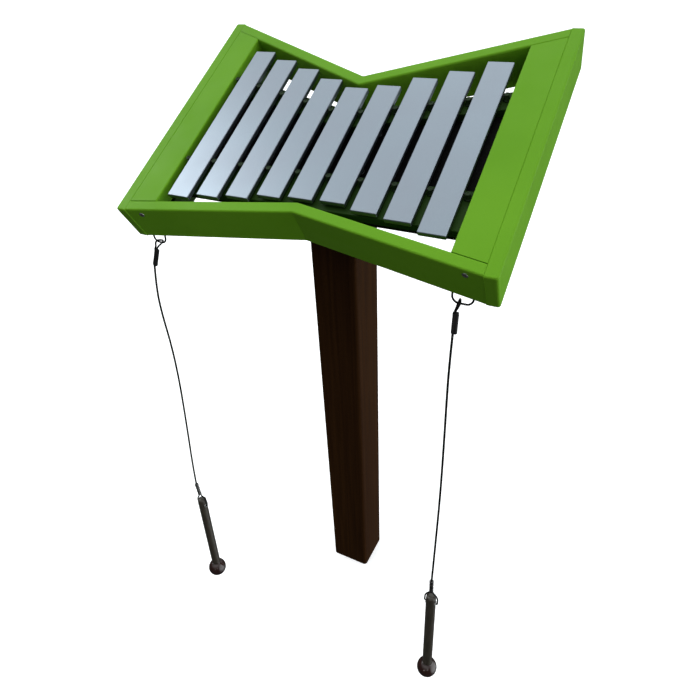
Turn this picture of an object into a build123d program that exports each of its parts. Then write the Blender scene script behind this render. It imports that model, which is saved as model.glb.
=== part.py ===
from build123d import *
import math
import os

os.makedirs("parts", exist_ok=True)

# ---- driving dimensions (mm) ----
# The head is drawn flat: X along the row of bars, Y away from the player,
# Z = 0 on the playing surface. It is then tilted and lifted onto the post.
TILT = 30.0                 # playing surface falls towards the player
PLANE_Y = -23.0             # centre of the playing surface, ahead of the post centre
PLANE_Z = 1035.5            # and its height above the ground

BOARD = 19.0                # sheet thickness of the frame boards
BOARD_H = 68.0              # height of the frame boards
HALF_W = 312.0              # half of the outer width
END_FRONT = -199.2          # square front end of an end board
END_BACK = 248.5            # square back end of an end board
FRONT_BEND = -151.5         # outer face of the front board at its bend
FRONT_SLOPE = 0.1593        # how fast the front board spreads, per mm of X
BACK_BEND = 128.5
BACK_SLOPE = 0.405
TOP_ROUND = 3.0             # round on the long edges
CORNER_ROUND = 4.0          # round on upright edges
SEAM = 0.7                  # bevel on edges where two boards meet

LEDGE_IN = 243.5            # inner edge of the flat ledge
LEDGE_T = 25.0

RAIL_TOP = -12.0
RAIL_T = 13.0
FRONT_RAIL_Y = (-132.0, -63.5)
BACK_RAIL_BACK = (63.5, 0.255)     # Y at the middle, and spread per mm of X
BACK_RAIL_FRONT = (26.5, 0.260)

PANEL_TOP = -25.0
PANEL_T = 6.0
PANEL_FRONT = -131.9
PANEL_BACK = (62.0, 0.25)

PITCH = 52.5                # centre to centre of the bars
BAR_W = 40.0
BAR_T = 8.0
LONGEST_BAR = 331.0
BAR_STEPS = [0, 3, 6, 10, 13, 12, 8, 5, 1]   # semitones above the longest bar
BAR_ENDS_AT = -55.5         # front end of a bar = this, less 0.3 of its length
BAR_FRONT_SHARE = 0.30
BAR_SET_SHIFT = [-0.9, -0.6, -1.4, -0.9, -2.5, 1.4, 1.5, 2.6, 1.3]

BAR_CORD_R = 1.5
BAR_CORD_Z = -4.0
FRONT_CORD_Y = -76.5
BACK_CORD_INNER = 53.0      # at the pegs beside the middle bar
BACK_CORD_OUTER = 107.6     # at the end pegs
PEG_R = 4.0
PEG_BASE_R = 6.0
PEG_TOP = -1.5
PEG_SCREW_R = 2.0

POST_W = 89.0
POST_ROUND = 8.0
PLATE_T = 6.0
CHEEK_T = 5.0
CHEEK_BOTTOM = 870.0

EYE_WIRE_R = 1.5
LEFT_EYE_HALF = 13.0        # half of the eye's width, to the wire's centre
RIGHT_EYE_HALF = 15.0
EYE_ROUND = 10.0            # bend of the eye's wire, to its centre
EYE_TOP = 894.0
LEFT_EYE_X = -278.3
RIGHT_EYE_X = 258.5
HANG_Y = -149.3             # distances down a tether are taken from this place
HANG_Z = 871.0

CABLE_R = 1.9
LOOP_R = 1.5
LOOP_HALF = 6.0             # half of the top loop's width
SLEEVE_R = 3.2              # the sleeve is shrunk over the cable and its turned-back end
SLEEVE_SPREAD = 3.2         # from the cable to its turned-back end
FERRULE_R = 4.0
LEAN = 0.109                # tethers lead forward by this much per mm of drop
SLEEVE_AT = (19.0, 53.0)    # distances down the tether from the eye
FERRULE_AT = (563.0, 592.0)
HOLE_AT = 620.0
HANDLE_AT = (602.0, 822.0)
BALL_AT = 817.0
HANDLE_R = 9.5
BALL_R = 20.0
STRAND_OUT = 12.5

HEAD = Pos(0, PLANE_Y, PLANE_Z) * Rot(TILT, 0, 0)


# ---- small helpers ----
def save(shape, name):
    shape.label = name
    export_step(shape, "parts/" + name + ".step")
    print(name, "volume", round(shape.volume / 1000, 2), "cm3, valid", shape.is_valid)


def slab(points, bottom, top):
    """An upright prism over a plan outline."""
    return extrude(Plane.XY.offset(bottom) * make_face(Polyline(*points, close=True)), top - bottom)


def rod(start, end, radius):
    a = Vector(*start)
    b = Vector(*end)
    section = Plane(origin=a, z_dir=b - a) * Circle(radius)
    return extrude(section, (b - a).length)


def tube(path, radius):
    return sweep(Plane(origin=path @ 0, z_dir=path % 0) * Circle(radius), path=path)


def edges_at(shape, height, slack=0.01):
    """Edges that lie at one height."""
    found = []
    for edge in shape.edges():
        box = edge.bounding_box()
        if abs(box.min.Z - height) < slack and abs(box.max.Z - height) < slack:
            found.append(edge)
    return found


def upright(shape):
    return shape.edges().filter_by(Axis.Z)


def group(parts):
    return Compound(children=list(parts))


# ---- plan outlines ----
def front_outer(x):
    return FRONT_BEND - FRONT_SLOPE * abs(x)


def front_inner(x):
    return front_outer(x) + BOARD * math.hypot(1, FRONT_SLOPE)


def back_outer(x):
    return BACK_BEND + BACK_SLOPE * abs(x)


def back_inner(x):
    return back_outer(x) - BOARD * math.hypot(1, BACK_SLOPE)


def band(near, far, half):
    """Outline between two lines that each bend at X = 0."""
    return [
        (-half, near(half)), (0, near(0)), (half, near(half)),
        (half, far(half)), (0, far(0)), (-half, far(half)),
    ]


INNER = HALF_W - BOARD


# ---- frame boards ----
def bent_board(near, far):
    board = slab(band(near, far, INNER), -BOARD_H, 0)
    bends = [e for e in upright(board) if abs(e.center().X) < 1]
    board = fillet(bends, 6)
    long_edges = []
    for height in (0, -BOARD_H):
        long_edges += [e for e in edges_at(board, height) if e.bounding_box().size.X > 1]
    return fillet(long_edges, TOP_ROUND)


def end_board(side):
    middle = (END_FRONT + END_BACK) / 2
    board = Pos(side * (HALF_W - BOARD / 2), middle, -BOARD_H / 2) * Box(
        BOARD, END_BACK - END_FRONT, BOARD_H)
    outer = [e for e in upright(board) if abs(e.center().X) > HALF_W - 1]
    board = fillet(outer, CORNER_ROUND)
    rim = []
    for height in (0, -BOARD_H):
        rim += [e for e in edges_at(board, height) if abs(e.center().X) > INNER + 0.5]
    board = fillet(rim, TOP_ROUND)
    seam = [e for e in edges_at(board, 0) if abs(e.center().X) < INNER + 0.1]
    return chamfer(seam, SEAM)


def ledge(side):
    corners = [
        (side * LEDGE_IN, front_inner(LEDGE_IN)), (side * INNER, front_inner(INNER)),
        (side * INNER, back_inner(INNER)), (side * LEDGE_IN, back_inner(LEDGE_IN)),
    ]
    board = slab(corners, -LEDGE_T, 0)
    seam = [e for e in edges_at(board, 0) if abs(e.center().X) > INNER - 0.1]
    board = chamfer(seam, SEAM)
    rim = [e for e in edges_at(board, 0) if abs(abs(e.center().X) - LEDGE_IN) < 0.1]
    return fillet(rim, 2)


def cross_board(side):
    """Stands under the inner edge of a ledge, below the panel."""
    near = side * LEDGE_IN
    far = side * (LEDGE_IN + BOARD)
    corners = [
        (near, front_inner(near)), (far, front_inner(far)),
        (far, back_inner(far)), (near, back_inner(near)),
    ]
    return slab(corners, -BOARD_H, PANEL_TOP - PANEL_T)


def base_panel():
    corners = [
        (-INNER, PANEL_FRONT), (INNER, PANEL_FRONT),
        (INNER, PANEL_BACK[0] + PANEL_BACK[1] * INNER), (0, PANEL_BACK[0]),
        (-INNER, PANEL_BACK[0] + PANEL_BACK[1] * INNER),
    ]
    return slab(corners, PANEL_TOP - PANEL_T, PANEL_TOP)


def front_rail():
    near, far = FRONT_RAIL_Y
    corners = [(-LEDGE_IN, near), (LEDGE_IN, near), (LEDGE_IN, far), (-LEDGE_IN, far)]
    rail = slab(corners, RAIL_TOP - RAIL_T, RAIL_TOP)
    long_edges = [e for e in edges_at(rail, RAIL_TOP) if e.bounding_box().size.X > 1]
    return fillet(long_edges, 1.5)


def back_rail():
    outline = band(
        lambda x: BACK_RAIL_FRONT[0] + BACK_RAIL_FRONT[1] * x,
        lambda x: BACK_RAIL_BACK[0] + BACK_RAIL_BACK[1] * x, LEDGE_IN)
    rail = slab(outline, RAIL_TOP - RAIL_T, RAIL_TOP)
    long_edges = [e for e in edges_at(rail, RAIL_TOP) if e.bounding_box().size.X > 1]
    return fillet(long_edges, 1.5)


# ---- bars and what they hang on ----
def bar_x(index):
    return (index - 4) * PITCH


def bar(index):
    length = LONGEST_BAR * 2 ** (-BAR_STEPS[index] / 24)
    front = BAR_ENDS_AT - BAR_FRONT_SHARE * length + BAR_SET_SHIFT[index]
    solid = Pos(bar_x(index), front + length / 2, -BAR_T / 2) * Box(BAR_W, length, BAR_T)
    solid = fillet(upright(solid), 1.5)
    return chamfer(edges_at(solid, 0) + edges_at(solid, -BAR_T), 0.8)


def peg_x():
    return [(step - 4.5) * PITCH for step in range(10)]


def back_cord_y(x):
    inner = PITCH / 2
    if abs(x) <= inner:
        return BACK_CORD_INNER
    share = (abs(x) - inner) / (4.5 * PITCH - inner)
    return BACK_CORD_INNER + share * (BACK_CORD_OUTER - BACK_CORD_INNER)


def front_bar_cord():
    reach = 4.5 * PITCH + 2
    return rod((-reach, FRONT_CORD_Y, BAR_CORD_Z), (reach, FRONT_CORD_Y, BAR_CORD_Z), BAR_CORD_R)


def back_bar_cord():
    reach = 4.5 * PITCH + 2
    inner = PITCH / 2
    slope = (BACK_CORD_OUTER - BACK_CORD_INNER) / (4 * PITCH)
    end_y = BACK_CORD_OUTER + 2 * slope
    points = [
        (-reach, end_y, BAR_CORD_Z), (-inner, BACK_CORD_INNER, BAR_CORD_Z),
        (inner, BACK_CORD_INNER, BAR_CORD_Z), (reach, end_y, BAR_CORD_Z),
    ]
    return tube(FilletPolyline(*points, radius=20), BAR_CORD_R)


def peg(x, y):
    base = Pos(x, y, RAIL_TOP + 1) * Cylinder(PEG_BASE_R, 2)
    stem = Pos(x, y, (RAIL_TOP + PEG_TOP) / 2) * Cylinder(PEG_R, PEG_TOP - RAIL_TOP)
    stem = fillet(edges_at(stem, PEG_TOP), 1.2)
    return base + stem


def peg_screw(x, y):
    under = PANEL_TOP - PANEL_T
    head = Pos(x, y, under - 1.5) * Cylinder(4, 3)
    head = fillet(edges_at(head, under - 3), 1)
    shank = rod((x, y, under), (x, y, BAR_CORD_Z - BAR_CORD_R - 1.5), PEG_SCREW_R)
    return head + shank


def peg_places():
    places = [(x, FRONT_CORD_Y) for x in peg_x()]
    places += [(x, back_cord_y(x)) for x in peg_x()]
    return places


# ---- screws of the frame ----
def panel_screw(x, y):
    """Runs up through a cross board and the panel into the ledge; its head is let in."""
    head = Pos(x, y, 2 - BOARD_H) * Cylinder(5, 4)
    return head + rod((x, y, 4 - BOARD_H), (x, y, -8), 2.5)


def panel_screw_places():
    places = []
    for side in (-1, 1):
        for y in (-112, 0, 100):
            places.append((side * (LEDGE_IN + BOARD / 2), y))
    return places


def board_screw(x, outer, slope, facing):
    """A flush round head in the outer face, and a shank into the ledge's end."""
    size = math.hypot(1, slope)
    side = 1 if x > 0 else -1
    out = Vector(-side * slope / size, facing / size, 0)
    face = Vector(x, outer(x), -LEDGE_T / 2)
    head = rod(tuple(face + out * 0.6), tuple(face - out * 2.6), 4.5)
    shank = rod(tuple(face - out * 2.6), tuple(face - out * 45), 2.5)
    return head + shank


def board_screws():
    screws = []
    for side in (-1, 1):
        screws.append(board_screw(side * 268, front_outer, FRONT_SLOPE, -1))
        screws.append(board_screw(side * 268, back_outer, BACK_SLOPE, 1))
    return screws


# ---- post and saddle ----
def above_plane(level):
    """Everything over a level of the tilted head."""
    return HEAD * Pos(0, 0, level + 500) * Box(1000, 1000, 1000)


def post():
    solid = Pos(0, 0, 550) * Box(POST_W, POST_W, 1100)
    solid = fillet(upright(solid), POST_ROUND)
    return solid - above_plane(PANEL_TOP - PANEL_T - PLATE_T)


def saddle():
    under = PANEL_TOP - PANEL_T
    plate = Pos(0, -7, under - PLATE_T / 2) * Box(150, 106, PLATE_T)
    plate = HEAD * fillet(upright(plate), 8)
    body = plate
    for side in (-1, 1):
        x = side * (POST_W / 2 + CHEEK_T / 2)
        cheek = Pos(x, -2, (CHEEK_BOTTOM + 1050) / 2) * Box(CHEEK_T, 72, 1050 - CHEEK_BOTTOM)
        low = [e for e in cheek.edges().filter_by(Axis.X) if e.center().Z < CHEEK_BOTTOM + 1]
        cheek = fillet(low, 12)
        body += cheek - above_plane(under - PLATE_T)
    return body


def hexagon(start, end, across):
    a = Vector(*start)
    b = Vector(*end)
    section = Plane(origin=a, z_dir=b - a) * RegularPolygon(across / 2, 6, major_radius=False)
    return extrude(section, (b - a).length)


SADDLE_BOLTS = [(0, 900), (0, 958)]
OUT = POST_W / 2 + CHEEK_T


def saddle_bolt(y, z):
    head = hexagon((OUT, y, z), (OUT + 6.5, y, z), 16)
    return head + rod((OUT, y, z), (-OUT - 11, y, z), 5)


def saddle_nut(y, z):
    nut = hexagon((-OUT, y, z), (-OUT - 8, y, z), 16)
    return nut - rod((-OUT + 1, y, z), (-OUT - 12, y, z), 5)


TRAY_BOLTS = [(-60, -46), (60, -46), (-60, 30), (60, 30)]


def tray_bolt(x, y):
    head = Pos(x, y, PANEL_TOP + 2) * Cylinder(7, 4)
    head = fillet(edges_at(head, PANEL_TOP + 4), 1.5)
    end = PANEL_TOP - PANEL_T - PLATE_T - 9
    return head + rod((x, y, PANEL_TOP), (x, y, end), 4)


def tray_nut(x, y):
    top = PANEL_TOP - PANEL_T - PLATE_T
    nut = hexagon((x, y, top), (x, y, top - 6.5), 13)
    return nut - rod((x, y, top + 1), (x, y, top - 10), 4)


# ---- eyes under the front board ----
def eye(side, centre_x, half):
    left = centre_x - half
    right = centre_x + half
    y, bottom = hang(side["hook"], 0)[1:]
    points = [
        (left, y, EYE_TOP), (left, y, bottom), (right, y, bottom), (right, y, EYE_TOP),
    ]
    return tube(FilletPolyline(*points, radius=EYE_ROUND), EYE_WIRE_R)


# ---- tethers ----
# Each tether is laid out by its distance down from the eye, and by X.
LEFT_ROUTE = [
    (53, -302.5), (100, -307.5), (150, -304.0), (205, -294.5), (262, -289.0),
    (330, -286.8), (430, -287.0), (510, -287.8), (563, -286.0),
]
RIGHT_ROUTE = [
    (53, 250.0), (110, 250.4), (170, 252.8), (250, 256.5), (350, 260.4),
    (460, 262.6), (563, 264.2),
]
LEFT = {
    "eye": -282.0, "hook": 7.0, "turn": 22.0, "sleeve": -291.0, "route": LEFT_ROUTE,
    "ferrule": -280.0, "hole": -275.6, "ball": -259.8,
}
RIGHT = {
    "eye": 254.0, "hook": 5.2, "turn": -20.0, "sleeve": 249.6, "route": RIGHT_ROUTE,
    "ferrule": 266.0, "hole": 267.6, "ball": 276.2,
}


def hang(distance, x, aside=0.0):
    """A point some distance down the tether's leaning plane."""
    size = math.hypot(1, LEAN)
    down = distance / size
    y = HANG_Y - LEAN * down + aside / size
    z = HANG_Z - down - LEAN * aside / size
    return (x, y, z)


def unit(start, end):
    return (Vector(*end) - Vector(*start)).normalized()


def sleeve_line(side):
    return hang(SLEEVE_AT[0], side["sleeve"]), hang(*side["route"][0])


def sleeve(side):
    start, end = sleeve_line(side)
    along = Vector(*end) - Vector(*start)
    face = Plane(origin=start, x_dir=(1, 0, 0), z_dir=along)
    section = face * Pos(SLEEVE_SPREAD / 2, 0) * SlotCenterToCenter(SLEEVE_SPREAD, 2 * SLEEVE_R)
    solid = extrude(section, along.length)
    ends = solid.faces().sort_by(Axis.Z)
    return fillet(ends[0].edges() + ends[-1].edges(), 1)


def top_loop(side):
    """The cable's eye, hooked over the bottom wire of the eye above."""
    centre = Vector(*hang(side["hook"], side["eye"]))
    start, end = sleeve_line(side)
    down = unit(tuple(centre), start)
    across = Vector(1, 0, 0).cross(down).normalized().rotate(Axis((0, 0, 0), down), side["turn"])
    half = LOOP_R + 0.1
    reach = (Vector(*start) - centre).length

    def place(sideways, below):
        spot = centre + across * sideways + down * below
        return (spot.X, spot.Y, spot.Z)

    points = [
        place(-half, reach), place(-LOOP_HALF, -4.2), place(LOOP_HALF, -4.2), place(half, reach),
    ]
    loop = tube(FilletPolyline(*points, radius=4.2), LOOP_R)
    face = Plane(origin=Vector(*start), z_dir=unit(start, end))
    beyond = face * Pos(0, 0, 10) * Box(30, 30, 20)
    return loop - beyond


def corner_radii(points):
    """The largest even arcs that the runs of a route allow."""
    radii = []
    for i in range(1, len(points) - 1):
        a = Vector(*points[i]) - Vector(*points[i - 1])
        b = Vector(*points[i + 1]) - Vector(*points[i])
        half_turn = math.radians(a.get_angle(b)) / 2
        radii.append(0.45 * min(a.length, b.length) / math.tan(half_turn))
    return radii


def cable(side, name):
    points = [hang(*place) for place in side["route"]]
    radii = corner_radii(points)
    path = FilletPolyline(*points, radius=radii)
    solid = tube(path, CABLE_R)
    print(name, "radii", [round(r) for r in radii], "length", round(path.length, 1))
    print(name, "volume ratio", round(solid.volume / (math.pi * CABLE_R ** 2 * path.length), 4))
    return solid - sleeve(side) - ferrule(side)


def ferrule(side):
    solid = rod(hang(*side["route"][-1]), hang(FERRULE_AT[1], side["ferrule"]), FERRULE_R)
    rims = solid.edges().filter_by(GeomType.CIRCLE)
    return fillet(rims, 1.0)


def bottom_loop(side):
    """The lower eye of the cable, through the hole in the handle."""
    centre = side["hole"]
    low = side["ferrule"]
    half = LOOP_R + 0.1
    points = [
        hang(FERRULE_AT[1] - 4, low - half), hang(FERRULE_AT[1] + 3, low - half - 1.5),
        hang(HOLE_AT - 17, centre - STRAND_OUT), hang(HOLE_AT, centre - STRAND_OUT),
        hang(HOLE_AT, centre + STRAND_OUT), hang(HOLE_AT - 17, centre + STRAND_OUT),
        hang(FERRULE_AT[1] + 3, low + half + 1.5), hang(FERRULE_AT[1] - 4, low + half),
    ]
    loop = tube(FilletPolyline(*points, radius=[3, 3, 4, 4, 3, 3]), LOOP_R)
    face = Plane(
        origin=Vector(*hang(FERRULE_AT[1], low)),
        z_dir=unit(hang(FERRULE_AT[1], low), hang(*side["route"][-1])))
    return loop - face * Pos(0, 0, 10) * Box(30, 30, 20)


# ---- mallets ----
def mallet_line(side):
    """Top of the handle, ball centre and end of the handle inside the ball."""
    slope = (side["ball"] - side["hole"]) / (BALL_AT - HOLE_AT)
    top = hang(HANDLE_AT[0], side["hole"] + slope * (HANDLE_AT[0] - HOLE_AT))
    end = hang(HANDLE_AT[1], side["ball"] + slope * (HANDLE_AT[1] - BALL_AT))
    return top, hang(BALL_AT, side["ball"]), end


def hole_rod(side, radius, near, far):
    x, y, z = hang(HOLE_AT, side["hole"])
    return rod((x + near, y, z), (x + far, y, z), radius)


def eyelet(side):
    body = hole_rod(side, 3.5, -9.6, 9.6)
    body += hole_rod(side, 5.0, -9.6, -8.0)
    body += hole_rod(side, 5.0, 8.0, 9.6)
    return body - hole_rod(side, 2.6, -12, 12)


def handle(side):
    top, ball, end = mallet_line(side)
    solid = rod(top, end, HANDLE_R)
    rims = [e for e in solid.edges().filter_by(GeomType.CIRCLE) if e.center().Z > ball[2] + 50]
    solid = fillet(rims, 6)
    solid -= hole_rod(side, 3.5, -12, 12)
    solid -= hole_rod(side, 5.0, -14, -8.0)
    return solid - hole_rod(side, 5.0, 8.0, 14)


def ball(side):
    top, middle, end = mallet_line(side)
    return Pos(*middle) * Sphere(BALL_R) - rod(top, end, HANDLE_R)


# ---- build and save ----
def build_head():
    front_cord = front_bar_cord()
    back_cord = back_bar_cord()
    peg_screws = [peg_screw(x, y) for x, y in peg_places()]
    panel_screws = [panel_screw(x, y) for x, y in panel_screw_places()]
    tray_bolts = [tray_bolt(x, y) for x, y in TRAY_BOLTS]
    face_screws = board_screws()
    left_eye = eye(LEFT, LEFT_EYE_X, LEFT_EYE_HALF)
    right_eye = eye(RIGHT, RIGHT_EYE_X, RIGHT_EYE_HALF)

    front = bent_board(front_outer, front_inner)
    back = bent_board(back_inner, back_outer)
    ledges = {"left_ledge": ledge(-1), "right_ledge": ledge(1)}
    stiffeners = {"left_cross_board": cross_board(-1), "right_cross_board": cross_board(1)}
    for screw in face_screws:
        front -= screw
        back -= screw
        for name in ledges:
            ledges[name] -= screw
    for one in (left_eye, right_eye):
        front -= HEAD.inverse() * one
    panel = base_panel()
    for screw in panel_screws:
        panel -= screw
        for name in ledges:
            ledges[name] -= screw
        for name in stiffeners:
            stiffeners[name] -= screw
    near_rail = front_rail()
    far_rail = back_rail()
    half = len(peg_screws) // 2
    for number, screw in enumerate(peg_screws):
        panel -= screw
        if number < half:
            near_rail -= screw
        else:
            far_rail -= screw
    for bolt in tray_bolts:
        panel -= bolt

    pegs = []
    for number, (x, y) in enumerate(peg_places()):
        cord = front_cord if number < half else back_cord
        pegs.append(peg(x, y) - cord - peg_screws[number])

    save(HEAD * front, "front_board")
    save(HEAD * back, "back_board")
    save(HEAD * end_board(-1), "left_end_board")
    save(HEAD * end_board(1), "right_end_board")
    for name, solid in [*ledges.items(), *stiffeners.items()]:
        save(HEAD * solid, name)
    save(HEAD * panel, "base_panel")
    save(HEAD * near_rail, "front_rail")
    save(HEAD * far_rail, "back_rail")
    save(HEAD * front_cord, "front_bar_cord")
    save(HEAD * back_cord, "back_bar_cord")
    for index in range(9):
        save(HEAD * (bar(index) - front_cord - back_cord), "bar_" + str(index + 1))
    save(group([HEAD * p for p in pegs]), "cord_pegs")
    save(group([HEAD * s for s in peg_screws]), "peg_screws")
    save(group([HEAD * s for s in panel_screws]), "panel_screws")
    save(group([HEAD * s for s in face_screws]), "board_screws")
    save(group([HEAD * b for b in tray_bolts]), "tray_bolts")
    save(group([HEAD * tray_nut(x, y) for x, y in TRAY_BOLTS]), "tray_nuts")
    save(left_eye, "left_eye")
    save(right_eye, "right_eye")


def build_stand():
    bolts = [saddle_bolt(y, z) for y, z in SADDLE_BOLTS]
    column = post()
    seat = saddle()
    for y, z in SADDLE_BOLTS:
        shank = rod((OUT + 5, y, z), (-OUT - 5, y, z), 5)
        column -= shank
        seat -= shank
    for x, y in TRAY_BOLTS:
        seat -= HEAD * rod((x, y, 0), (x, y, -60), 4)
    save(column, "post")
    save(seat, "post_saddle")
    save(group(bolts), "saddle_bolts")
    save(group([saddle_nut(y, z) for y, z in SADDLE_BOLTS]), "saddle_nuts")


def build_tether(side, name):
    save(top_loop(side), name + "_top_loop")
    save(sleeve(side), name + "_sleeve")
    save(cable(side, name), name + "_cable")
    save(ferrule(side), name + "_ferrule")
    save(bottom_loop(side), name + "_bottom_loop")
    save(handle(side), name + "_mallet_handle")
    save(eyelet(side), name + "_mallet_eyelet")
    save(ball(side), name + "_mallet_head")
    print(name, "tether hinge", hang(side["hook"], side["eye"]), "mallet hinge", hang(HOLE_AT, side["hole"]))
    print(name, "ball centre", hang(BALL_AT, side["ball"]))


build_head()
build_stand()
build_tether(LEFT, "left")
build_tether(RIGHT, "right")
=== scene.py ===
import math
import bpy
from mathutils import Matrix, Vector


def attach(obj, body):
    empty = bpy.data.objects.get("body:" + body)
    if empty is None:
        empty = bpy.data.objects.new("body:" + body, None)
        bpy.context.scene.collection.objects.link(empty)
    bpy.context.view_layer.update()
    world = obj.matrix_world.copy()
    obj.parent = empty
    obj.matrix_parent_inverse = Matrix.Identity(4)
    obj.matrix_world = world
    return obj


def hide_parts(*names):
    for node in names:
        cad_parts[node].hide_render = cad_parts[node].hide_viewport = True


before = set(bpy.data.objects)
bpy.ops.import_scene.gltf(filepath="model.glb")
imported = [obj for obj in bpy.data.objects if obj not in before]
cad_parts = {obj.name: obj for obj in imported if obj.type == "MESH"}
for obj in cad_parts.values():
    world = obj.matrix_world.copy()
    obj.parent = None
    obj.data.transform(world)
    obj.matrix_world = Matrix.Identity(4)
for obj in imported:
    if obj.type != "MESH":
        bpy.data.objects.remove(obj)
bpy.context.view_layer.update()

# ---- places and sizes that the frame does not give, in metres ----
MM = 0.001
TILT = math.radians(30)          # the tray's playing surface falls towards the player
PLANE = Vector((0, -0.023, 1.0355))
HEAD = Matrix.Translation(PLANE) @ Matrix.Rotation(TILT, 4, "X")
PITCH = 52.5 * MM                # centre to centre of the bars
RAIL_TOP = -12 * MM              # heights below the playing surface
BAR_CORD_Z = -4 * MM
BAR_CORD_D = 3 * MM
FRONT_CORD_Y = -76.5 * MM
BACK_CORD_INNER = 53 * MM        # at the pegs beside the middle bar
BACK_CORD_OUTER = 107.6 * MM     # at the end pegs
FRONT_FACE = (-151.5 * MM, -0.1593)   # outer face of the front board: Y at its bend, and slope
BACK_FACE = (128.5 * MM, 0.405)
SCREW_X = 268 * MM
SCREW_Z = -12.5 * MM

HANG_Y = -149.3 * MM             # distances down a tether are taken from this place
HANG_Z = 871 * MM
LEAN = 0.109                     # tethers lead forward by this much per length of drop
CABLE_D = 3.8 * MM
LOOP_D = 3.0 * MM
SLEEVE_AT = (19 * MM, 53 * MM)   # distances down a tether from its eye
SLEEVE_R = 3.2 * MM
SLEEVE_SPREAD = 3.2 * MM
FERRULE_AT = (563 * MM, 592 * MM)
FERRULE_R = 4.0 * MM
HOLE_AT = 620 * MM
BALL_AT = 817 * MM
BALL_R = 20 * MM
HANDLE_R = 9.5 * MM
STRAND_OUT = 12.5 * MM           # from the hole's middle out to a strand of the lower loop
STRAND_APART = 1.55 * MM         # half of the distance between two strands side by side
EYELET_BORE = 2.6 * MM           # radii of the eyelet in a handle
EYELET_BODY = 3.45 * MM
EYELET_LIP = 5.0 * MM
EYELET_FLARE = 8.0 * MM          # where its ends flare, from the handle's middle
SCREW_HEAD_R = 4.5 * MM
SCREW_SHANK_R = 2.4 * MM
SOCKET_R = 1.9 * MM

CAMERA_SENSOR = 36
CAMERA_LENS = 29.075
CAMERA_PLACE = (0.4349, -0.8043, 1.2599)
CAMERA_TURN = (54.961, 2.056, 26.858)    # degrees
FLOOR_SIZE = 120

TETHERS = {
    "left": {
        "eye": -282.0 * MM, "hook": 7.0 * MM, "turn": math.radians(22), "sleeve": -291.0 * MM,
        "ferrule": -280.0 * MM,
        "hole": -275.6 * MM, "ball": -259.8 * MM, "length": 0.5113,
        "route": [
            (-0.3025, -0.15504, 0.81831), (-0.3075, -0.16014, 0.77159),
            (-0.3040, -0.16555, 0.72188), (-0.2945, -0.17151, 0.66721),
            (-0.2890, -0.17769, 0.61054), (-0.2868, -0.18506, 0.54294),
            (-0.2870, -0.19589, 0.44353), (-0.2878, -0.20456, 0.36400),
            (-0.2860, -0.21031, 0.31132),
        ],
    },
    "right": {
        "eye": 254.0 * MM, "hook": 5.2 * MM, "turn": math.radians(-20), "sleeve": 249.6 * MM,
        "ferrule": 266.0 * MM,
        "hole": 267.6 * MM, "ball": 276.2 * MM, "length": 0.5102,
        "route": [
            (0.2500, -0.15504, 0.81831), (0.2504, -0.16122, 0.76165),
            (0.2528, -0.16772, 0.70200), (0.2565, -0.17639, 0.62247),
            (0.2604, -0.18723, 0.52306), (0.2626, -0.19915, 0.41371),
            (0.2642, -0.21031, 0.31132),
        ],
    },
}


# ---- camera ----
def add_camera():
    data = bpy.data.cameras.new("camera")
    data.sensor_width = CAMERA_SENSOR
    data.lens = CAMERA_LENS
    camera = bpy.data.objects.new("camera", data)
    bpy.context.scene.collection.objects.link(camera)
    camera.location = CAMERA_PLACE
    camera.rotation_euler = [math.radians(angle) for angle in CAMERA_TURN]
    bpy.context.scene.camera = camera


add_camera()


# ---- tethers: a point some distance down the plane in which they hang ----
def hang(distance, x):
    down = distance / math.hypot(1, LEAN)
    return Vector((x, HANG_Y - LEAN * down, HANG_Z - down))


def spline_piece(name, points, diameter):
    """One smooth open line through a list of control points, with a round section."""
    data = bpy.data.curves.new(name, "CURVE")
    data.dimensions = "3D"
    data.resolution_u = 12
    data.bevel_depth = 1             # the points' own radius gives the thickness
    data.bevel_resolution = 5
    data.use_fill_caps = True
    line = data.splines.new("NURBS")
    line.points.add(len(points) - 1)
    for spot, place in zip(line.points, points):
        spot.co = (*place, 1)
        spot.radius = diameter / 2
    line.order_u = 3
    line.use_endpoint_u = True
    piece = bpy.data.objects.new(name, data)
    bpy.context.scene.collection.objects.link(piece)
    return piece


def top_loop_points(side):
    """The cable's upper eye, hooked over the wire above it."""
    centre = hang(side["hook"], side["eye"])
    start = hang(SLEEVE_AT[0], side["sleeve"])
    down = (start - centre).normalized()
    across = Vector((1, 0, 0)).cross(down).normalized()
    across.rotate(Matrix.Rotation(side["turn"], 3, down))
    reach = (start - centre).length + 4 * MM
    half = [
        (STRAND_APART, reach), (2.2 * MM, 11 * MM), (4.9 * MM, 6 * MM), (6.6 * MM, -1 * MM),
        (5.0 * MM, -4.7 * MM),
    ]
    points = [centre - across * out + down * below for out, below in half]
    points += [centre + across * out + down * below for out, below in reversed(half)]
    return points


def bottom_loop_points(side):
    """The cable's lower eye, down beside the handle and through its cross hole."""
    low = side["ferrule"]
    hole = side["hole"]
    end = FERRULE_AT[1]
    half = [
        (end - 6 * MM, low, STRAND_APART), (end + 1 * MM, low, 1.9 * MM),
        (end + 7 * MM, hole, 8.5 * MM), (HOLE_AT - 14 * MM, hole, STRAND_OUT),
        (HOLE_AT - 5 * MM, hole, STRAND_OUT), (HOLE_AT, hole, STRAND_OUT), (HOLE_AT, hole, 7 * MM),
    ]
    points = [hang(down, x - out) for down, x, out in half]
    points += [hang(down, x + out) for down, x, out in reversed(half)]
    return points


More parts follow.
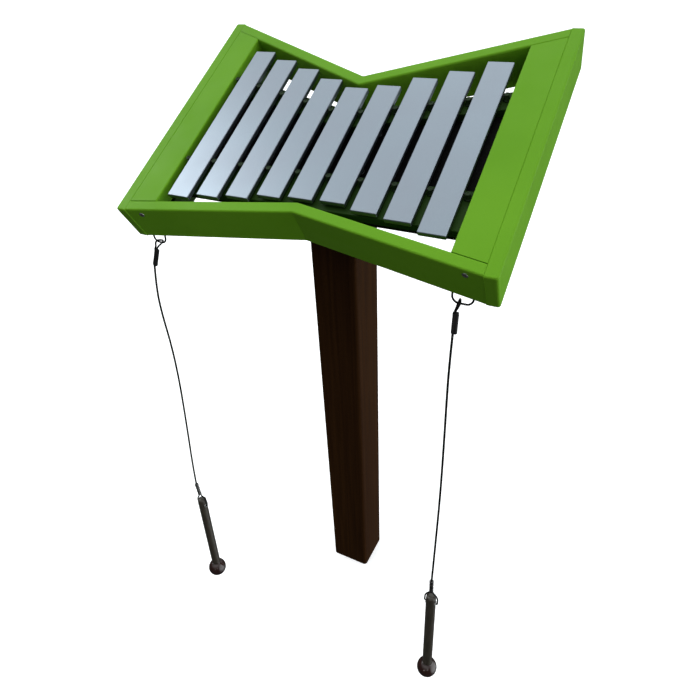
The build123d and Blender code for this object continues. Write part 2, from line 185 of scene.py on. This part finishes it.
def build_tether_lines(name, side):
    pieces = {}
    pieces["cable"] = spline_piece(name + "_tether_cable", side["route"], CABLE_D)
    pieces["top"] = spline_piece(name + "_cable_top_loop", top_loop_points(side), LOOP_D)
    pieces["bottom"] = spline_piece(name + "_cable_bottom_loop", bottom_loop_points(side), LOOP_D)
    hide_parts(name + "_cable")
    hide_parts(name + "_top_loop")
    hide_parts(name + "_bottom_loop")
    for piece in pieces.values():
        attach(piece, name + "_tether")
    return pieces


lines = {name: build_tether_lines(name, side) for name, side in TETHERS.items()}


# ---- modelling helpers ----
def only(piece):
    bpy.ops.object.select_all(action="DESELECT")
    piece.select_set(True)
    bpy.context.view_layer.objects.active = piece


def edit(piece):
    only(piece)
    bpy.ops.object.mode_set(mode="EDIT")


def done():
    bpy.ops.object.mode_set(mode="OBJECT")


def pick(piece, wanted):
    """Selects, in edit mode, the points for whose place wanted() is true."""
    bpy.ops.mesh.select_mode(type="VERT")
    bpy.ops.mesh.select_all(action="DESELECT")
    done()
    for point in piece.data.vertices:
        point.select = wanted(point.co)
    bpy.ops.object.mode_set(mode="EDIT")


def drawn_out(name, profile, sides, fill):
    """A circle drawn out from ring to ring along (radius, height) pairs; it stays in edit mode."""
    radius, height = profile[0]
    bpy.ops.object.select_all(action="DESELECT")
    bpy.ops.mesh.primitive_circle_add(
        vertices=sides, radius=radius, fill_type=fill, location=(0, 0, height))
    piece = bpy.context.object
    piece.name = name
    bpy.ops.object.transform_apply(location=True, rotation=True, scale=True)
    bpy.ops.object.mode_set(mode="EDIT")
    bpy.ops.mesh.select_all(action="SELECT")
    for next_radius, next_height in profile[1:]:
        bpy.ops.mesh.extrude_region_move(
            TRANSFORM_OT_translate={"value": (0, 0, next_height - height)})
        grow = next_radius / radius
        bpy.ops.transform.resize(value=(grow, grow, 1), center_override=(0, 0, next_height))
        radius, height = next_radius, next_height
    bpy.ops.mesh.select_all(action="SELECT")
    return piece


def turned(name, profile, sides):
    """A solid piece turned about Z."""
    piece = drawn_out(name, profile, sides, "NGON")
    bpy.ops.mesh.normals_make_consistent(inside=False)
    done()
    return piece


def ring_turned(name, profile, sides):
    """A turned piece with a hole: its outline closes on itself."""
    piece = drawn_out(name, profile + profile[:1], sides, "NOTHING")
    bpy.ops.mesh.remove_doubles(threshold=0.02 * MM)
    bpy.ops.mesh.normals_make_consistent(inside=False)
    done()
    return piece


def smooth(piece, angle):
    only(piece)
    bpy.ops.object.shade_smooth_by_angle(angle=math.radians(angle))


def apply_modifiers(piece):
    only(piece)
    for modifier in list(piece.modifiers):
        bpy.ops.object.modifier_apply(modifier=modifier.name)


def place(piece, matrix):
    """Moves a finished piece to its place, and leaves its object at the origin."""
    only(piece)
    piece.matrix_world = matrix @ piece.matrix_world
    bpy.ops.object.transform_apply(location=True, rotation=True, scale=True)


def copy_of(piece, name):
    copied = piece.copy()
    copied.data = piece.data.copy()
    copied.name = name
    bpy.context.scene.collection.objects.link(copied)
    return copied


def joined(pieces, name):
    bpy.ops.object.select_all(action="DESELECT")
    for piece in pieces:
        piece.select_set(True)
    bpy.context.view_layer.objects.active = pieces[0]
    bpy.ops.object.join()
    pieces[0].name = name
    return pieces[0]


def aimed(origin, direction, side=(1, 0, 0)):
    """A frame at a place whose Z runs along a direction, with X as near to side as it can be."""
    z = Vector(direction).normalized()
    y = z.cross(Vector(side)).normalized()
    x = y.cross(z)
    turn = Matrix((x, y, z)).transposed().to_4x4()
    return Matrix.Translation(origin) @ turn


def arc(centre_radius, centre_height, radius, start, end, steps):
    """Points of a round in a turned profile, between two angles in degrees."""
    points = []
    for step in range(steps + 1):
        angle = math.radians(start + (end - start) * step / steps)
        points.append((
            centre_radius + radius * math.cos(angle), centre_height + radius * math.sin(angle)))
    return points


# ---- sleeve, ferrule, eyelet and ball ----
def sleeve(name, side):
    """Shrunk over two strands, so its section is longer across than it is thick."""
    length = SLEEVE_AT[1] - SLEEVE_AT[0]
    r = SLEEVE_R
    profile = [(r * 0.62, 0), (r * 0.86, 0.4 * MM), (r * 0.97, 1.4 * MM), (r, 3 * MM)]
    profile += [(r * 0.95, length * 0.3), (r * 0.99, length * 0.5), (r * 0.94, length * 0.72)]
    profile += [
        (r, length - 3.5 * MM), (r * 0.98, length - 1.6 * MM), (r * 0.86, length - 0.5 * MM),
        (r * 0.6, length),
    ]
    piece = turned(name + "_shrunk_sleeve", profile, 28)
    edit(piece)
    pick(piece, lambda co: co.x > 0.05 * MM)
    bpy.ops.transform.translate(value=(SLEEVE_SPREAD, 0, 0))
    pick(piece, lambda co: abs(co.x) <= 0.05 * MM)
    bpy.ops.transform.translate(value=(SLEEVE_SPREAD / 2, 0, 0))
    bpy.ops.transform.resize(value=(1, 0.82, 1), center_override=(SLEEVE_SPREAD / 2, 0, 0))
    done()
    bend = piece.modifiers.new("soften", "SUBSURF")
    bend.levels = 1
    bend.render_levels = 1
    apply_modifiers(piece)
    smooth(piece, 60)
    start = hang(SLEEVE_AT[0], side["sleeve"])
    end = Vector(side["route"][0])
    place(piece, aimed(end, start - end))
    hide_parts(name + "_sleeve")
    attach(piece, name + "_tether")
    return piece


def ferrule(name, side):
    """A short tube, pressed in three bands round the two strands."""
    length = FERRULE_AT[1] - FERRULE_AT[0]
    r = FERRULE_R
    profile = [(r * 0.55, 0), (r * 0.6, 0)]
    profile += arc(r - 0.7 * MM, 0.7 * MM, 0.7 * MM, -90, 0, 4)
    for band in range(3):
        middle = length * (0.26 + 0.24 * band)
        profile += [
            (r, middle - 2.3 * MM), (r * 0.93, middle - 1.7 * MM), (r * 0.86, middle - 0.9 * MM),
            (r * 0.86, middle + 0.9 * MM), (r * 0.93, middle + 1.7 * MM), (r, middle + 2.3 * MM),
        ]
    profile += arc(r - 0.7 * MM, length - 0.7 * MM, 0.7 * MM, 0, 90, 4)
    profile += [(r * 0.6, length), (r * 0.55, length)]
    piece = turned(name + "_crimped_ferrule", profile, 32)
    smooth(piece, 40)
    start = Vector(side["route"][-1])
    end = hang(FERRULE_AT[1], side["ferrule"])
    place(piece, aimed(end, start - end))
    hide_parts(name + "_ferrule")
    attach(piece, name + "_tether")
    return piece


def eyelet(name, side):
    """A tube with rolled rims through the handle's cross hole."""
    body = [(EYELET_BODY, -EYELET_FLARE), (EYELET_BODY, EYELET_FLARE)]
    far_rim = [(EYELET_LIP, EYELET_FLARE + 0.2 * MM)]
    far_rim += arc(EYELET_LIP - 1.1 * MM, EYELET_FLARE + 0.7 * MM, 1.1 * MM, 0, 160, 8)
    near_rim = [(radius, -height) for radius, height in reversed(far_rim)]
    bore = [
        (EYELET_BORE + 0.1 * MM, EYELET_FLARE), (EYELET_BORE, 6.5 * MM),
        (EYELET_BORE, -6.5 * MM), (EYELET_BORE + 0.1 * MM, -EYELET_FLARE),
    ]
    piece = ring_turned(name + "_handle_eyelet", near_rim + body + far_rim + bore, 32)
    smooth(piece, 50)
    place(piece, aimed(hang(HOLE_AT, side["hole"]), (1, 0, 0), (0, 1, 0)))
    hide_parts(name + "_mallet_eyelet")
    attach(piece, name + "_mallet")


def ball(name, side):
    """A moulded ball with a fine parting line and a small lip round the handle."""
    lip = math.degrees(math.acos((HANDLE_R + 1.6 * MM) / BALL_R))
    profile = [(0.2 * MM, -BALL_R)]
    profile += arc(0, 0, BALL_R, -88, -1.6, 26)
    profile += [(BALL_R - 0.25 * MM, -0.18 * MM), (BALL_R - 0.25 * MM, 0.18 * MM)]
    profile += arc(0, 0, BALL_R, 1.6, lip, 18)
    top = BALL_R * math.sin(math.radians(lip))
    profile += [
        (HANDLE_R + 1.25 * MM, top + 0.75 * MM), (HANDLE_R + 0.7 * MM, top + 1.0 * MM),
        (HANDLE_R + 0.2 * MM, top + 0.8 * MM), (HANDLE_R + 0.05 * MM, top + 0.2 * MM),
        (HANDLE_R + 0.05 * MM, top - 3 * MM),
    ]
    piece = turned(name + "_mallet_ball", profile, 64)
    smooth(piece, 40)
    centre = hang(BALL_AT, side["ball"])
    place(piece, aimed(centre, hang(HOLE_AT, side["hole"]) - centre))
    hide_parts(name + "_mallet_head")
    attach(piece, name + "_mallet")


def build_tether_fittings(name, side):
    on_cord = [sleeve(name, side), ferrule(name, side)]
    eyelet(name, side)
    ball(name, side)


for name, side in TETHERS.items():
    build_tether_fittings(name, side)


# ---- pegs, bar cords and screws ----
def peg_places():
    """The pegs stand in the gaps between bars, on the two lines where the cords run."""
    inner = PITCH / 2
    places = []
    for step in range(10):
        x = (step - 4.5) * PITCH
        share = max(0, abs(x) - inner) / (4.5 * PITCH - inner)
        places.append((x, FRONT_CORD_Y))
        places.append((x, BACK_CORD_INNER + share * (BACK_CORD_OUTER - BACK_CORD_INNER)))
    return places


def pegs():
    """Round posts with a flange, a throat for the cord and a dished top."""
    profile = [(5.2 * MM, 0), (5.9 * MM, 0.3 * MM), (6.0 * MM, 1.2 * MM), (5.7 * MM, 1.9 * MM)]
    profile += [
        (4.4 * MM, 2.3 * MM), (4.0 * MM, 2.9 * MM), (3.9 * MM, 5.6 * MM), (3.5 * MM, 6.4 * MM),
        (3.2 * MM, 7.3 * MM), (3.2 * MM, 8.7 * MM), (3.5 * MM, 9.2 * MM), (3.95 * MM, 9.5 * MM),
        (3.95 * MM, 9.9 * MM), (3.5 * MM, 10.4 * MM), (2.2 * MM, 10.5 * MM), (1.7 * MM, 10.1 * MM),
        (0.3 * MM, 10.0 * MM),
    ]
    first = turned("cord_peg_set", profile, 24)
    smooth(first, 40)
    row = [copy_of(first, "cord_peg_set") for _ in range(len(peg_places()) - 1)]
    for piece, (x, y) in zip([first, *row], peg_places()):
        place(piece, HEAD @ Matrix.Translation((x, y, RAIL_TOP)))
    whole = joined([first, *row], "cord_peg_set")
    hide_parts("cord_pegs")
    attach(whole, "stand")
    return whole


def bar_cords():
    """Taut cords through the bars' cross holes, tied off in the end pegs."""
    reach = 4.5 * PITCH + 2 * MM
    inner = PITCH / 2
    slope = (BACK_CORD_OUTER - BACK_CORD_INNER) / (4 * PITCH)
    end_y = BACK_CORD_OUTER + 2 * MM * slope
    near = inner + 10 * MM
    near_y = BACK_CORD_INNER + 10 * MM * slope
    routes = {
        "front": [(x * reach, FRONT_CORD_Y) for x in (-1, -0.33, 0.33, 1)],
        "back": [
            (-reach, end_y), (-near, near_y), (-inner, BACK_CORD_INNER),
            (inner, BACK_CORD_INNER), (near, near_y), (reach, end_y),
        ],
    }
    made = []
    for name, route in routes.items():
        points = [HEAD @ Vector((x, y, BAR_CORD_Z)) for x, y in route]
        piece = spline_piece(name + "_braided_cord", points, BAR_CORD_D)
        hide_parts(name + "_bar_cord")
        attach(piece, "stand")
        made.append(piece)
    return made


def face_screws():
    """Flush round heads with a six-sided socket, in the front and back boards."""
    r = SCREW_HEAD_R
    profile = [
        (0.5 * MM, -45 * MM), (1.6 * MM, -41 * MM), (SCREW_SHANK_R, -38 * MM),
        (SCREW_SHANK_R, -4.2 * MM),
    ]
    profile += [(r * 0.9, -1.6 * MM), (r, -1.1 * MM), (r, -0.1 * MM), (r * 0.93, 0.35 * MM)]
    profile += [(r * 0.7, 0.58 * MM), (r * 0.45, 0.62 * MM)]
    first = turned("board_face_screws", profile, 32)
    bpy.ops.object.select_all(action="DESELECT")
    bpy.ops.mesh.primitive_cylinder_add(
        vertices=6, radius=SOCKET_R, depth=4 * MM, location=(0, 0, 0.6 * MM))
    socket = bpy.context.object
    cut = first.modifiers.new("socket", "BOOLEAN")
    cut.operation = "DIFFERENCE"
    cut.solver = "EXACT"
    cut.object = socket
    apply_modifiers(first)
    bpy.data.objects.remove(socket)
    smooth(first, 35)
    placed = []
    for face, facing in ((FRONT_FACE, -1), (BACK_FACE, 1)):
        for side in (-1, 1):
            spot = HEAD @ Vector((side * SCREW_X, face[0] + face[1] * SCREW_X, SCREW_Z))
            out = HEAD.to_3x3() @ Vector((-side * face[1] * facing, facing, 0))
            piece = copy_of(first, "board_face_screws")
            place(piece, aimed(spot, out))
            placed.append(piece)
    bpy.data.objects.remove(first)
    whole = joined(placed, "board_face_screws")
    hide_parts("board_screws")
    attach(whole, "stand")
    return whole


peg_set = pegs()
cord_pair = bar_cords()
screw_set = face_screws()


# ---- materials ----
class Value:
    """One number that varies over a surface, so that shader maths reads as plain sums."""

    def __init__(self, paint, socket):
        self.paint = paint
        self.socket = socket

    def _sum(self, operation, first, second):
        return self.paint.node("ShaderNodeMath", {"operation": operation}, {0: first, 1: second})

    def __add__(self, other):
        return self._sum("ADD", self, other)

    __radd__ = __add__

    def __mul__(self, other):
        return self._sum("MULTIPLY", self, other)

    __rmul__ = __mul__

    def __sub__(self, other):
        return self._sum("SUBTRACT", self, other)

    def __rsub__(self, other):
        return self._sum("SUBTRACT", other, self)


class Paint:
    """The nodes of one material, or of the world, under construction."""

    def __init__(self, owner):
        self.owner = owner
        self.owner.use_nodes = True
        self.tree = owner.node_tree
        self.tree.nodes.clear()

    @classmethod
    def material(cls, name):
        return cls(bpy.data.materials.new(name))

    def node(self, kind, settings=None, sockets=None, output=0):
        made = self.tree.nodes.new(kind)
        for key, value in (settings or {}).items():
            if key == "stops":
                self._stops(made.color_ramp, value)
            else:
                setattr(made, key, value)
        for key, value in (sockets or {}).items():
            if isinstance(value, Value):
                self.tree.links.new(value.socket, made.inputs[key])
            else:
                made.inputs[key].default_value = value
        return Value(self, made.outputs[output]) if made.outputs else None

    @staticmethod
    def _stops(ramp, stops):
        while len(ramp.elements) < len(stops):
            ramp.elements.new(0.5)
        for element, (position, colour) in zip(ramp.elements, stops):
            element.position = position
            element.color = (*colour, 1)

    def place(self, turn=(0, 0, 0), scale=(1, 1, 1)):
        """Where on the object a point lies, turned and stretched for a pattern."""
        spot = self.node("ShaderNodeTexCoord", output="Object")
        settings = {"vector_type": "POINT"}
        return self.node("ShaderNodeMapping", settings, {
            "Vector": spot, "Rotation": turn, "Scale": scale})

    def noise(self, where, scale, detail=3.0, rough=0.5):
        return self.node("ShaderNodeTexNoise", None, {
            "Vector": where, "Scale": scale, "Detail": detail, "Roughness": rough})

    def spread(self, value, low, high, to_low=0.0, to_high=1.0):
        """Takes a value from one range into another and holds it there."""
        return self.node("ShaderNodeMapRange", {"clamp": True}, {
            "Value": value, "From Min": low, "From Max": high, "To Min": to_low, "To Max": to_high})

    def mix(self, share, first, second):
        settings = {"data_type": "RGBA", "blend_type": "MIX"}
        colours = {0: share}
        for key, colour in ((6, first), (7, second)):
            colours[key] = colour if isinstance(colour, Value) else (*colour, 1)
        return self.node("ShaderNodeMix", settings, colours, output=2)

    def bump(self, height, distance, strength=1.0):
        return self.node("ShaderNodeBump", None, {
            "Height": height, "Distance": distance, "Strength": strength})

    def finish(self, sockets):
        surface = self.node("ShaderNodeBsdfPrincipled", None, sockets)
        self.node("ShaderNodeOutputMaterial", None, {"Surface": surface})
        return self.owner


IN_HEAD = (-TILT, 0, 0)          # turns a pattern to run with the tilted tray


def board_plastic(name, low, high, dark):
    """Sheet plastic: slight mottling, a pebbled skin and a few long handling marks."""
    paint = Paint.material(name)
    where = paint.place(IN_HEAD)
    cloud = paint.spread(paint.noise(where, 7.0, 4.0), 0.35, 0.65)
    colour = paint.mix(cloud, low, high)
    grain = paint.noise(where, 520.0, 2.0)
    specks = paint.spread(grain, 0.62, 0.75, 0.0, 0.25)
    colour = paint.mix(specks, colour, dark)
    marks = paint.spread(paint.noise(paint.place(IN_HEAD, (14, 260, 60)), 1.0, 2.0), 0.66, 0.74)
    rough = paint.spread(paint.noise(where, 30.0), 0.3, 0.7, 0.40, 0.52) - marks * 0.08
    pebbles = paint.noise(where, 900.0, 2.0) * 0.7 + marks * 0.3
    return paint.finish({
        "Base Color": colour, "Roughness": rough, "Specular IOR Level": 0.08,
        "Normal": paint.bump(pebbles, 0.00012, 0.5)})


def bar_metal():
    """Aluminium flat bar, brushed along its length."""
    paint = Paint.material("bar_aluminium")
    where = paint.place(IN_HEAD)
    streaks = paint.noise(paint.place(IN_HEAD, (2600, 9, 2600)), 1.0, 3.0, 0.6)
    cloud = paint.noise(where, 11.0, 3.0)
    colour = paint.mix(paint.spread(streaks, 0.3, 0.7), (0.228, 0.270, 0.310), (0.278, 0.323, 0.366))
    colour = paint.mix(paint.spread(cloud, 0.4, 0.7, 0.0, 0.4), colour, (0.250, 0.275, 0.315))
    rough = paint.spread(streaks, 0.25, 0.75, 0.30, 0.40) + paint.spread(cloud, 0.3, 0.7, 0, 0.05)
    return paint.finish({
        "Base Color": colour, "Metallic": 1.0, "Roughness": rough,
        "Normal": paint.bump(streaks, 0.00002, 0.6)})


def post_plastic():
    """Brown moulded lumber: fine lengthwise grain with darker streaks and tiny pits."""
    paint = Paint.material("post_brown")
    grain = paint.noise(paint.place((0, 0, 0), (160, 160, 3.5)), 1.0, 5.0, 0.62)
    wide = paint.noise(paint.place((0, 0, 0), (26, 26, 1.2)), 1.0, 3.0)
    colour = paint.mix(paint.spread(grain, 0.32, 0.7), (0.022, 0.0085, 0.0025), (0.046, 0.019, 0.0055))
    colour = paint.mix(paint.spread(wide, 0.4, 0.7, 0.0, 0.5), colour, (0.022, 0.008, 0.003))
    pits = paint.spread(paint.noise(paint.place((0, 0, 0), (1, 1, 0.4)), 700.0, 2.0), 0.62, 0.75)
    rough = paint.spread(grain, 0.3, 0.7, 0.46, 0.60)
    return paint.finish({
        "Base Color": colour, "Roughness": rough, "Specular IOR Level": 0.03,
        "Normal": paint.bump(grain - pits * 0.6, 0.0004, 0.5)})


def plain_plastic(name, low, high, rough_low, rough_high, gloss, grain=600.0, coat=0.0):
    """A one-colour skin with faint clouds of tone and a very fine grain."""
    paint = Paint.material(name)
    where = paint.place()
    cloud = paint.spread(paint.noise(where, 60.0), 0.3, 0.7)
    rough = paint.spread(paint.noise(where, 180.0), 0.3, 0.7, rough_low, rough_high)
    return paint.finish({
        "Base Color": paint.mix(cloud, low, high), "Roughness": rough,
        "Specular IOR Level": gloss, "Coat Weight": coat, "Coat Roughness": 0.06,
        "Normal": paint.bump(paint.noise(where, grain, 2.0), 0.00008, 0.4)})


def dull_metal(name, low, high, rough_low, rough_high):
    """Metal that is brighter and smoother where it is worn."""
    paint = Paint.material(name)
    where = paint.place()
    worn = paint.spread(paint.noise(where, 240.0, 4.0), 0.35, 0.65)
    return paint.finish({
        "Base Color": paint.mix(worn, low, high), "Metallic": 1.0,
        "Roughness": paint.spread(worn, 0, 1, rough_high, rough_low),
        "Normal": paint.bump(worn, 0.00004, 0.5)})


def handle_material():
    """Dark fibre rod: streaks that run with the handle, under a thin satin skin."""
    paint = Paint.material("handle_dark")
    streaks = paint.noise(paint.place((0, 0, 0), (420, 420, 26)), 1.0, 4.0, 0.6)
    patches = paint.spread(paint.noise(paint.place((0, 0, 0), (60, 60, 18)), 1.0), 0.35, 0.7)
    colour = paint.mix(
        paint.spread(streaks, 0.3, 0.7), (0.016, 0.015, 0.010), (0.055, 0.048, 0.032))
    colour = paint.mix(patches * 0.5, colour, (0.040, 0.030, 0.024))
    return paint.finish({
        "Base Color": colour, "Roughness": paint.spread(streaks, 0.3, 0.7, 0.30, 0.42),
        "Specular IOR Level": 0.5, "Normal": paint.bump(streaks, 0.00015, 0.5)})


def braid(name):
    """Braided cord: two sets of slanted ridges that cross, with painted shade in the grooves between
    them.
    """
    paint = Paint.material(name)
    ridges = []
    for turn in (0.9, -0.9):
        wave = paint.node("ShaderNodeTexWave", {"wave_type": "BANDS", "bands_direction": "X"}, {
            "Vector": paint.place((-TILT, 0, turn)), "Scale": 260.0, "Distortion": 0.4}, output=1)
        ridges.append(wave)
    height = ridges[0] * ridges[1]
    # Painted shade: the colour goes dark where the ridges dip into grooves and lighter on their tops.
    colour = paint.mix(height, (0.010, 0.010, 0.010), (0.060, 0.060, 0.055))
    return paint.finish({
        "Base Color": colour, "Roughness": 0.85, "Normal": paint.bump(height, 0.0003, 0.8)})


def dress(names, material):
    for name in names:
        piece = bpy.data.objects[name]
        piece.data.materials.clear()
        piece.data.materials.append(material)


def both(ending):
    return ["left_" + ending, "right_" + ending]


def dress_all():
    green = board_plastic(
        "frame_green", (0.132, 0.352, 0.013), (0.148, 0.380, 0.016), (0.08, 0.26, 0.010))
    dress(["front_board", "back_board", *both("end_board"), *both("ledge")], green)
    # The rails and cross boards take the frame's green plastic painted much darker: painted shade for
    # their place under the bars.
    rail = board_plastic(
        "rail_green", (0.016, 0.045, 0.007), (0.026, 0.066, 0.010), (0.008, 0.02, 0.003))
    dress(["front_rail", "back_rail", *both("cross_board")], rail)
    dress(["base_panel"], plain_plastic(
        "panel_black", (0.004, 0.004, 0.004), (0.008, 0.007, 0.008), 0.6, 0.75, 0.12))
    dress(["bar_" + str(number) for number in range(1, 10)], bar_metal())
    dress([piece.name for piece in cord_pair], braid("bar_cord"))
    dress([peg_set.name], plain_plastic(
        "peg_plastic", (0.012, 0.024, 0.009), (0.020, 0.038, 0.014), 0.5, 0.65, 0.1))
    dress([screw_set.name], dull_metal(
        "screw_worn", (0.30, 0.31, 0.31), (0.50, 0.50, 0.49), 0.35, 0.5))
    hidden = ["peg_screws", "panel_screws", "tray_bolts", "tray_nuts", "saddle_bolts", "saddle_nuts"]
    dress(hidden, dull_metal("screw_steel", (0.04, 0.04, 0.04), (0.10, 0.10, 0.10), 0.30, 0.5))
    dress(["post"], post_plastic())
    black = plain_plastic("coated_black", (0.004, 0.004, 0.004), (0.009, 0.009, 0.009), 0.5, 0.6, 0.15)
    dress(["post_saddle", *both("eye")], black)
    cable = plain_plastic("cable_black", (0.004, 0.004, 0.004), (0.008, 0.008, 0.008), 0.5, 0.6, 0.15)
    dress([*both("tether_cable"), *both("cable_top_loop"), *both("cable_bottom_loop")], cable)
    dress(both("shrunk_sleeve"), plain_plastic(
        "sleeve_black", (0.008, 0.008, 0.008), (0.018, 0.018, 0.018), 0.38, 0.5, 0.3, 300.0))
    dress(both("crimped_ferrule"), dull_metal(
        "ferrule_steel", (0.05, 0.05, 0.05), (0.16, 0.16, 0.155), 0.30, 0.48))
    dress(both("mallet_handle"), handle_material())
    dress(both("handle_eyelet"), dull_metal(
        "eyelet_steel", (0.28, 0.28, 0.27), (0.50, 0.50, 0.48), 0.25, 0.42))
    dress(both("mallet_ball"), plain_plastic(
        "head_rubber", (0.016, 0.006, 0.005), (0.030, 0.011, 0.008), 0.10, 0.18, 0.4, 120.0, 0.5))


dress_all()


# ---- floor, world and lights ----
def add_floor():
    bpy.ops.object.select_all(action="DESELECT")
    bpy.ops.mesh.primitive_plane_add(size=FLOOR_SIZE, location=(0, 0, 0))
    floor = bpy.context.object
    floor.name = "floor"
    paint = Paint.material("floor")
    floor.data.materials.append(paint.finish({
        "Base Color": (0.90, 0.90, 0.90, 1), "Roughness": 0.9, "Specular IOR Level": 0.1,
        "Emission Color": (1, 1, 1, 1), "Emission Strength": 0.45}))
    floor.visible_diffuse = False    # it shows and takes shadows, but throws no light back up
    floor.visible_glossy = False


# Soft lobes of light in the world: the way to each, the cosines at which it starts and is full,
# and its strength.
LIGHT_LOBES = [
    ((-0.10, -0.12, 1.0), 0.30, 0.98, 1.12),     # overhead, wide
    ((-0.15, 0.78, 0.60), 0.70, 0.97, 1.0),      # high at the back
    ((-0.78, 0.0, 0.63), 0.95, 0.995, 5.5),      # small and bright, high on the left
    ((1.0, 0.25, 0.02), 0.60, 0.98, 2.4),        # low on the right
]
WALL_LIGHT = 0.05
SEEN_WALL = 0.95                 # the walls' strength where they are seen directly
WALL_TINT = (0.95, 0.98, 1, 1)


def add_world():
    """Bright overhead and dim towards the walls, which still look pale when seen directly."""
    world = bpy.data.worlds.new("studio")
    bpy.context.scene.world = world
    paint = Paint(world)
    way = paint.node("ShaderNodeTexCoord", output="Generated")

    def lobe(direction, start, full, strength):
        unit = tuple(Vector(direction).normalized())
        found = paint.node("ShaderNodeVectorMath", {"operation": "DOT_PRODUCT"}, {
            0: way, 1: unit}, output=1)
        return paint.node("ShaderNodeMapRange", {"interpolation_type": "SMOOTHSTEP"}, {
            "Value": found, "From Min": start, "From Max": full, "To Max": strength})

    light = lobe(*LIGHT_LOBES[0])
    for rest in LIGHT_LOBES[1:]:
        light = light + lobe(*rest)
    seen = paint.node("ShaderNodeLightPath")
    strength = (1 - seen) * (light + WALL_LIGHT) + seen * SEEN_WALL
    back = paint.node("ShaderNodeBackground", None, {"Color": WALL_TINT, "Strength": strength})
    paint.node("ShaderNodeOutputWorld", None, {"Surface": back})


def add_area(name, spot, aim, size, power, shape="DISK", depth=None):
    data = bpy.data.lights.new(name, "AREA")
    data.shape = shape
    data.size = size
    if depth:
        data.size_y = depth
    data.energy = power
    lamp = bpy.data.objects.new(name, data)
    bpy.context.scene.collection.objects.link(lamp)
    lamp.location = spot
    lamp.rotation_euler = (Vector(aim) - Vector(spot)).to_track_quat("-Z", "Y").to_euler()


add_floor()
add_world()
add_area("glint_round", (0.05, -2.2, 0.35), (0, -0.2, 0.1), 0.12, 1.8)
add_area("glint_strip", (1.2, -1.9, 0.9), (0, -0.2, 0.1), 0.4, 1.8, "RECTANGLE", 0.07)
bpy.context.scene.view_settings.view_transform = "Standard"
